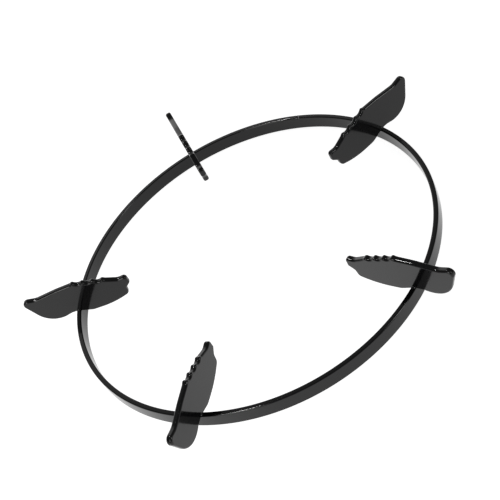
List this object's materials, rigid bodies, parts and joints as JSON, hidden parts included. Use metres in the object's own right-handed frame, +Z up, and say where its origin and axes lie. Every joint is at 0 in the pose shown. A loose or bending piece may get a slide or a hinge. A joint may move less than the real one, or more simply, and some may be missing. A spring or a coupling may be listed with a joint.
{
  "type": "wok ring",
  "caption": "Enamelled steel hoop with upright scalloped fins that hold a round-bottomed pan steady over a gas burner.",
  "frame": {"origin": "on the hoop's axis, in the plane of its underside", "axes": "+Z up along the hoop's axis, +Y along fin_1"},
  "size_m": [0.2638, 0.2509, 0.0299],
  "materials": {
    "black_enamel": "gloss vitreous enamel on steel"
  },
  "bodies": {
    "root": {"hoop": "black_enamel", "fin_1": "black_enamel", "fin_2": "black_enamel", "fin_3": "black_enamel", "fin_4": "black_enamel", "fin_5": "black_enamel"}
  },
  "joints": []
}
